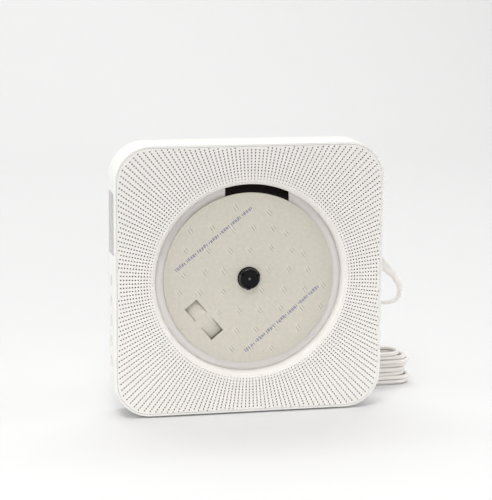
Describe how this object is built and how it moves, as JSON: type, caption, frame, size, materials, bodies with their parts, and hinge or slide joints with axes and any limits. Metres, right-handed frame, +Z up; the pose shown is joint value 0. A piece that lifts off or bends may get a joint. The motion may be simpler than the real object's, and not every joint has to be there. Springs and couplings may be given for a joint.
{
  "type": "wall mounted disc player",
  "caption": "Square wall-hung disc player with a drilled front panel, an open disc well with a card disc on its hub, side display and buttons, wall bracket and a power cord.",
  "frame": {"origin": "centre of the body's underside, on the surface that the feet stand on", "axes": "+X to the right seen from the front, +Y from the front face into the player and towards the wall, +Z up"},
  "size_m": [0.229, 0.075, 0.189],
  "materials": {
    "shell": "fine satin moulding",
    "panel": "fine satin moulding, drilled",
    "deck": "satin",
    "dark_window": "polished smoked plastic",
    "dark_plastic": "satin",
    "display_window": "polished tinted plastic",
    "display": "glass front",
    "circuit": "solder mask",
    "button": "satin",
    "rear": "fine texture",
    "steel": "plated",
    "bracket": "powder coat",
    "foot": "matt",
    "magnet": "matt",
    "cone": "matt",
    "cloth": "thin woven",
    "damper": "matt",
    "plate": "plated",
    "motor": "drawn can",
    "hub_black": "satin",
    "card": "embossed card",
    "lens_glass": "coated",
    "gear_plastic": "natural",
    "brass": "turned",
    "cord_white": "soft satin",
    "tie": "soft"
  },
  "bodies": {
    "player": {"housing": "shell", "front_panel": "panel", "grille_cloth": "cloth", "deck": "deck", "ir_window": "dark_window", "ir_receiver": "dark_plastic", "display_window": "display_window", "display_module": "display", "button_board": "circuit", "rear_cover": "rear", "rear_screws": "steel", "feet": "foot", "main_board": "circuit", "board_screws": "steel", "deck_screws": "steel", "side_board": "circuit", "dc_jack": "dark_plastic", "audio_jack": "dark_plastic", "switch_body": "dark_plastic", "speaker_frame_left": "dark_plastic", "speaker_magnet_left": "magnet", "speaker_surround_left": "damper", "speaker_frame_right": "dark_plastic", "speaker_magnet_right": "magnet", "speaker_surround_right": "damper", "mechanism_plate": "plate", "dampers": "damper", "damper_screws": "steel", "guide_rods": "steel", "spindle_motor": "motor", "sled_motor": "motor", "dc_plug": "cord_white", "strain_relief": "cord_white", "power_cord": "cord_white", "cord_hank": "cord_white", "cord_tie": "tie", "cord_tail": "cord_white", "usb_plug": "cord_white", "usb_shell": "steel"},
    "spindle": {"spindle_shaft": "steel", "turntable": "hub_black", "hub": "hub_black"},
    "claw_a": {"claw_1": "hub_black"},
    "claw_b": {"claw_2": "hub_black"},
    "claw_c": {"claw_3": "hub_black"},
    "disc": {"disc": "card"},
    "pickup": {"sled": "dark_plastic"},
    "lens_carrier": {"lens_holder": "dark_plastic", "lens": "lens_glass"},
    "drive_gear": {"drive_gear": "gear_plastic"},
    "motor_pinion": {"motor_pinion": "brass"},
    "button_1": {"button_1": "button"},
    "button_2": {"button_2": "button"},
    "button_3": {"button_3": "button"},
    "button_4": {"button_4": "button"},
    "button_5": {"button_5": "button"},
    "switch_knob": {"switch_knob": "dark_plastic"},
    "bracket": {"wall_bracket": "bracket"},
    "cone_left": {"speaker_cone_left": "cone"},
    "cone_right": {"speaker_cone_right": "cone"}
  },
  "joints": [
    {"name": "spindle_turn", "type": "hinge", "parent": "player", "child": "spindle", "pos_m": [0, -0.015, 0.095], "axis": [0, 1, 0], "continuous": true},
    {"name": "disc_lift", "type": "slide", "parent": "spindle", "child": "disc", "axis": [0, -1, 0], "range_m": [0, 0.02]},
    {"name": "claw_a_press", "type": "slide", "parent": "spindle", "child": "claw_a", "axis": [-0.9135, 0, -0.4067], "range_m": [0, 0.0005], "stiffness_N_per_m": 400},
    {"name": "claw_b_press", "type": "slide", "parent": "spindle", "child": "claw_b", "axis": [0.8192, 0, -0.5736], "range_m": [0, 0.0005], "stiffness_N_per_m": 400},
    {"name": "claw_c_press", "type": "slide", "parent": "spindle", "child": "claw_c", "axis": [0.0698, 0, 0.9976], "range_m": [0, 0.0005], "stiffness_N_per_m": 400},
    {"name": "pickup_slide", "type": "slide", "parent": "player", "child": "pickup", "axis": [-1, 0, 0], "range_m": [0, 0.032]},
    {"name": "lens_focus", "type": "slide", "parent": "pickup", "child": "lens_carrier", "axis": [0, -1, 0], "range_m": [-0.00035, 0.00035], "stiffness_N_per_m": 60},
    {"name": "drive_gear_turn", "type": "hinge", "parent": "player", "child": "drive_gear", "pos_m": [-0.04, 0, 0.1214], "axis": [0, 1, 0], "range_deg": [0, 382.5]},
    {"name": "motor_pinion_turn", "type": "hinge", "parent": "player", "child": "motor_pinion", "pos_m": [-0.02805, 0, 0.13143], "axis": [0, 1, 0], "range_deg": [-1275, 0]},
    {"name": "button_1_press", "type": "slide", "parent": "player", "child": "button_1", "axis": [1, 0, 0], "range_m": [0, 0.0006], "stiffness_N_per_m": 1500},
    {"name": "button_2_press", "type": "slide", "parent": "player", "child": "button_2", "axis": [1, 0, 0], "range_m": [0, 0.0006], "stiffness_N_per_m": 1500},
    {"name": "button_3_press", "type": "slide", "parent": "player", "child": "button_3", "axis": [1, 0, 0], "range_m": [0, 0.0006], "stiffness_N_per_m": 1500},
    {"name": "button_4_press", "type": "slide", "parent": "player", "child": "button_4", "axis": [1, 0, 0], "range_m": [0, 0.0006], "stiffness_N_per_m": 1500},
    {"name": "button_5_press", "type": "slide", "parent": "player", "child": "button_5", "axis": [1, 0, 0], "range_m": [0, 0.0006], "stiffness_N_per_m": 1500},
    {"name": "switch_slide", "type": "slide", "parent": "player", "child": "switch_knob", "axis": [0, 0, 1], "range_m": [0, 0.004]},
    {"name": "bracket_slide", "type": "slide", "parent": "player", "child": "bracket", "axis": [0, 0, -1], "range_m": [0, 0.012]},
    {"name": "cone_left_move", "type": "slide", "parent": "player", "child": "cone_left", "axis": [0, 1, 0], "range_m": [-0.0008, 0.0008], "stiffness_N_per_m": 900},
    {"name": "cone_right_move", "type": "slide", "parent": "player", "child": "cone_right", "axis": [0, 1, 0], "range_m": [-0.0008, 0.0008], "stiffness_N_per_m": 900}
  ],
  "couplings": [
    {"joint": "drive_gear_turn", "follows": "pickup_slide", "rad_per_m": 208.33},
    {"joint": "motor_pinion_turn", "follows": "pickup_slide", "rad_per_m": -694.44}
  ]
}
